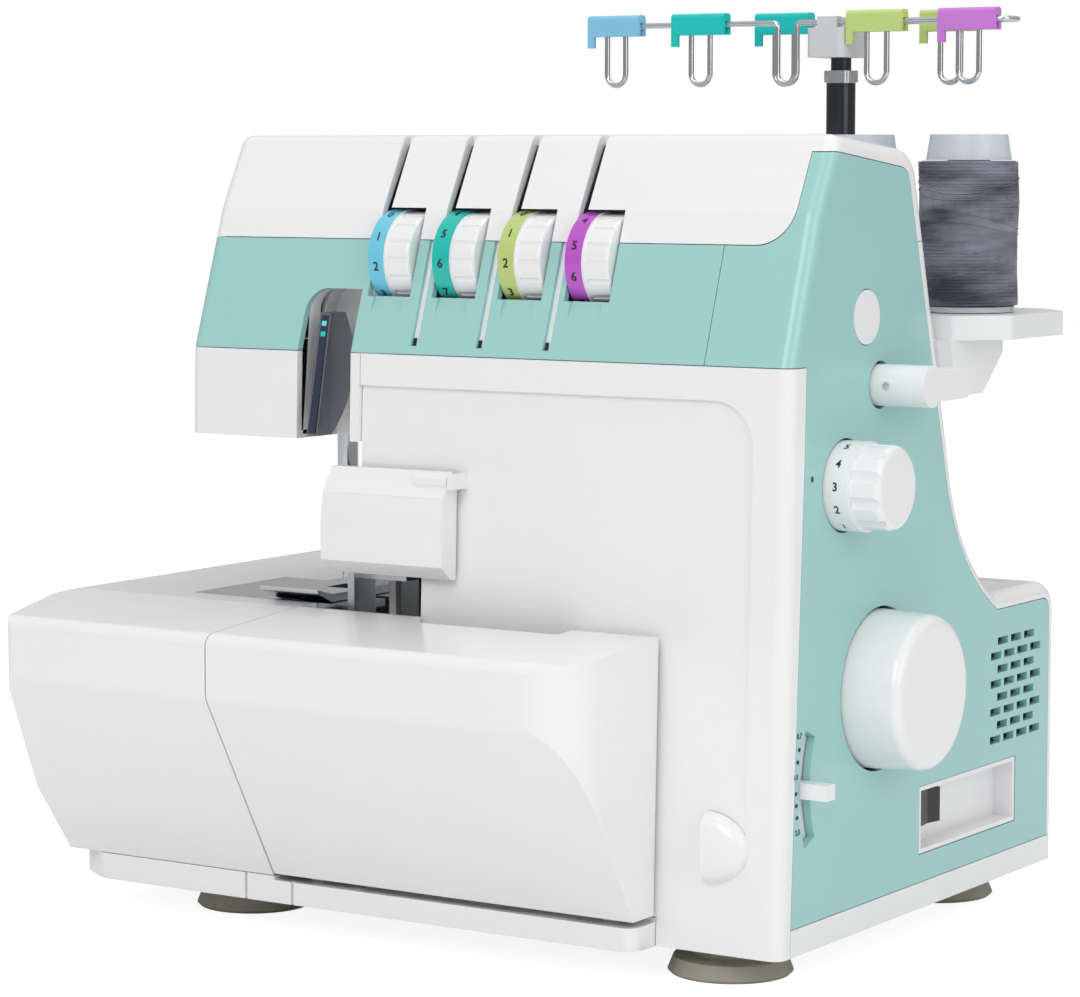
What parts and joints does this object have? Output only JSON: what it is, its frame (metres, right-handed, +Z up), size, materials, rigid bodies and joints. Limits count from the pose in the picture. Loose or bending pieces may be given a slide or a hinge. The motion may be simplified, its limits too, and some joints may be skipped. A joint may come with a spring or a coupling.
{
  "type": "serger overlock machine",
  "caption": "Table-top overlock sewing machine: hollow two-tone housing, hinged front cover, tension dials, needle and looper drive, handwheel and a telescopic thread stand with spools.",
  "frame": {"origin": "middle of the overall box, at the bottom of the feet", "axes": "+X to the user's right (handwheel side), +Y away from the user, +Z up"},
  "size_m": [0.339, 0.277, 0.345],
  "materials": {
    "mint_plastic": "glossy moulded, pale blue-green",
    "white_plastic": "glossy moulded, white",
    "light_blue_dial": "white knob with a light blue number band",
    "teal_dial": "white knob with a teal number band",
    "lime_dial": "white knob with a lime number band",
    "violet_dial": "white knob with a violet number band",
    "light_blue_clip": "light blue moulding",
    "teal_clip": "teal moulding",
    "lime_clip": "lime moulding",
    "violet_clip": "violet moulding",
    "chrome": "polished plate",
    "steel": "ground and machined",
    "casting": "cast",
    "bearing_bronze": "plain bush",
    "dark_tube": "black chrome",
    "guide_plastic": "light grey moulding",
    "dark_plastic": "black moulding",
    "motor_can": "dark enamel",
    "belt_rubber": "moulded",
    "foot_rubber": "olive grey, matt",
    "lens": "clear moulding",
    "spool_plastic": "milky clear",
    "grey_yarn": "wound polyester thread",
    "white_yarn": "wound polyester thread"
  },
  "bodies": {
    "machine_body": {"front_housing": "white_plastic", "arm_top_cover": "white_plastic", "arm_front_panel": "mint_plastic", "face_cover": "white_plastic", "rear_housing": "white_plastic", "right_side_cover": "mint_plastic", "base_tray": "white_plastic", "rubber_feet": "foot_rubber", "bed_housing": "white_plastic", "needle_plate": "chrome", "main_frame": "casting", "shaft_bearings": "bearing_bronze", "motor": "motor_can", "drive_belt": "belt_rubber", "side_plug": "white_plastic", "switch_recess": "white_plastic", "power_inlet": "dark_plastic", "tension_axle": "steel", "tension_discs": "steel", "lamp_lens": "lens", "spool_bracket": "white_plastic", "spool_tray": "white_plastic", "spool_cores": "spool_plastic", "grey_thread": "grey_yarn", "white_threads": "white_yarn", "outer_rod": "dark_tube"},
    "drive_train": {"handwheel": "white_plastic", "main_shaft": "steel", "shaft_pulley": "dark_plastic"},
    "motor_rotor": {"motor_pulley": "dark_plastic"},
    "tension_dial_1": {"tension_dial_1": "light_blue_dial"},
    "tension_dial_2": {"tension_dial_2": "teal_dial"},
    "tension_dial_3": {"tension_dial_3": "lime_dial"},
    "tension_dial_4": {"tension_dial_4": "violet_dial"},
    "stitch_length_dial": {"stitch_length_dial": "white_plastic"},
    "differential_lever": {"differential_lever": "white_plastic"},
    "presser_lifter": {"presser_lifter": "white_plastic"},
    "presser": {"presser_bar": "chrome", "presser_foot": "chrome"},
    "power_rocker": {"power_rocker": "dark_plastic"},
    "cover_rod": {"cover_hinge_rod": "steel"},
    "looper_cover": {"looper_cover": "white_plastic"},
    "cloth_plate_cover": {"cloth_plate_cover": "white_plastic"},
    "knife_guard": {"knife_guard": "white_plastic"},
    "needle_carrier": {"needle_bar": "chrome", "needle_clamp": "steel", "needles": "chrome"},
    "take_up_lever": {"take_up_lever": "chrome"},
    "upper_looper": {"upper_looper": "steel"},
    "lower_looper": {"lower_looper": "steel"},
    "upper_knife": {"upper_knife": "steel"},
    "feed_dog": {"feed_dog": "steel"},
    "thread_guide": {"inner_rod": "chrome", "guide_head": "guide_plastic", "guide_wire": "chrome", "blue_clip": "light_blue_clip", "teal_clips": "teal_clip", "lime_clips": "lime_clip", "violet_clip": "violet_clip"}
  },
  "joints": [
    {"name": "handwheel_turn", "type": "hinge", "parent": "machine_body", "child": "drive_train", "pos_m": [0.15, -0.0105, 0.0985], "axis": [1, 0, 0], "continuous": true},
    {"name": "motor_turn", "type": "hinge", "parent": "machine_body", "child": "motor_rotor", "pos_m": [0.13, 0.078, 0.066], "axis": [1, 0, 0], "continuous": true},
    {"name": "tension_1_turn", "type": "hinge", "parent": "machine_body", "child": "tension_dial_1", "pos_m": [-0.0258, -0.0533, 0.2512], "axis": [1, 0, 0], "range_deg": [-150, 150]},
    {"name": "tension_2_turn", "type": "hinge", "parent": "machine_body", "child": "tension_dial_2", "pos_m": [0.0029, -0.0533, 0.2512], "axis": [1, 0, 0], "range_deg": [-150, 150]},
    {"name": "tension_3_turn", "type": "hinge", "parent": "machine_body", "child": "tension_dial_3", "pos_m": [0.0316, -0.0533, 0.2512], "axis": [1, 0, 0], "range_deg": [-150, 150]},
    {"name": "tension_4_turn", "type": "hinge", "parent": "machine_body", "child": "tension_dial_4", "pos_m": [0.0603, -0.0533, 0.2512], "axis": [1, 0, 0], "range_deg": [-150, 150]},
    {"name": "stitch_length_turn", "type": "hinge", "parent": "machine_body", "child": "stitch_length_dial", "pos_m": [0.15, -0.0385, 0.174], "axis": [1, 0, 0], "range_deg": [-60, 150]},
    {"name": "differential_swing", "type": "hinge", "parent": "machine_body", "child": "differential_lever", "pos_m": [0.14, -0.019, 0.07], "axis": [1, 0, 0], "range_deg": [-20, 20]},
    {"name": "lifter_turn", "type": "hinge", "parent": "machine_body", "child": "presser_lifter", "pos_m": [0.15, -0.0125, 0.208], "axis": [1, 0, 0], "range_deg": [0, 46]},
    {"name": "presser_slide", "type": "slide", "parent": "machine_body", "child": "presser", "axis": [0, 0, 1], "range_m": [0, 0.006]},
    {"name": "rocker_tilt", "type": "hinge", "parent": "machine_body", "child": "power_rocker", "pos_m": [0.1421, 0.0315, 0.049], "axis": [0, 0, 1], "range_deg": [-8, 8]},
    {"name": "cover_unlatch", "type": "slide", "parent": "machine_body", "child": "cover_rod", "axis": [1, 0, 0], "range_m": [0, 0.008]},
    {"name": "looper_cover_swing", "type": "hinge", "parent": "cover_rod", "child": "looper_cover", "pos_m": [0.02, -0.0945, 0.0275], "axis": [1, 0, 0], "range_deg": [0, 65]},
    {"name": "cloth_plate_slide", "type": "slide", "parent": "machine_body", "child": "cloth_plate_cover", "axis": [-1, 0, 0], "range_m": [0, 0.055]},
    {"name": "knife_guard_swing", "type": "hinge", "parent": "machine_body", "child": "knife_guard", "pos_m": [0, -0.0836, 0.172], "axis": [-1, 0, 0], "range_deg": [0, 75]},
    {"name": "needle_slide", "type": "slide", "parent": "machine_body", "child": "needle_carrier", "axis": [0, 0, 1], "range_m": [-0.022, 0.003]},
    {"name": "take_up_swing", "type": "hinge", "parent": "machine_body", "child": "take_up_lever", "pos_m": [-0.054, -0.06, 0.212], "axis": [1, 0, 0], "range_deg": [-12, 1.64]},
    {"name": "lower_looper_swing", "type": "hinge", "parent": "machine_body", "child": "lower_looper", "pos_m": [-0.066, -0.04, 0.062], "axis": [0, 1, 0], "range_deg": [-1.36, 10]},
    {"name": "upper_looper_swing", "type": "hinge", "parent": "machine_body", "child": "upper_looper", "pos_m": [-0.047, -0.048, 0.06], "axis": [0, 1, 0], "range_deg": [-10, 1.36]},
    {"name": "upper_knife_slide", "type": "slide", "parent": "machine_body", "child": "upper_knife", "axis": [0, 0, 1], "range_m": [-0.008, 0.0011]},
    {"name": "feed_dog_slide", "type": "slide", "parent": "machine_body", "child": "feed_dog", "axis": [0, 1, 0], "range_m": [-0.0022, 0.0003]},
    {"name": "guide_slide", "type": "slide", "parent": "machine_body", "child": "thread_guide", "axis": [0, 0, 1], "range_m": [0, 0.1]}
  ],
  "couplings": [
    {"joint": "motor_turn", "follows": "handwheel_turn", "ratio": 3.58},
    {"joint": "lifter_turn", "follows": "presser_slide", "rad_per_m": 130.9},
    {"joint": "take_up_swing", "follows": "needle_slide", "rad_per_m": 9.52},
    {"joint": "lower_looper_swing", "follows": "needle_slide", "rad_per_m": -7.9333},
    {"joint": "upper_looper_swing", "follows": "needle_slide", "rad_per_m": 7.9333},
    {"joint": "upper_knife_slide", "follows": "needle_slide", "ratio": 0.36364},
    {"joint": "feed_dog_slide", "follows": "needle_slide", "ratio": 0.1}
  ]
}
